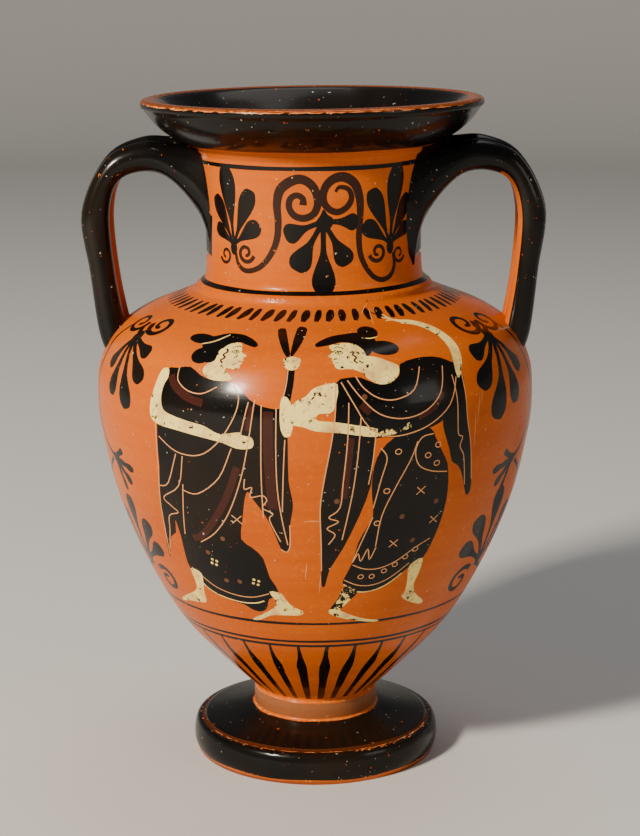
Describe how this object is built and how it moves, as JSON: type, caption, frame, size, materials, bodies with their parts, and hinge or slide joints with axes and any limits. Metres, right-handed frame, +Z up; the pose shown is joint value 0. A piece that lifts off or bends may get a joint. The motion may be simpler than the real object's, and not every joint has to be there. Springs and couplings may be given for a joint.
{
  "type": "black-figure amphora",
  "caption": "Two-handled neck amphora of painted fired clay, hollow and open at the mouth, with a torus foot and triple-reeded handles.",
  "frame": {"origin": "middle of the underside, on the plane that the foot ring stands on", "axes": "+Z up through the mouth; the two handles stand along +X and -X; the main painted side faces -Y"},
  "size_m": [0.205, 0.1956, 0.3007],
  "materials": {
    "painted_clay": "orange fired clay under semi-gloss black slip, with added white and dull red"
  },
  "bodies": {
    "root": {"amphora": "painted_clay"}
  },
  "joints": []
}
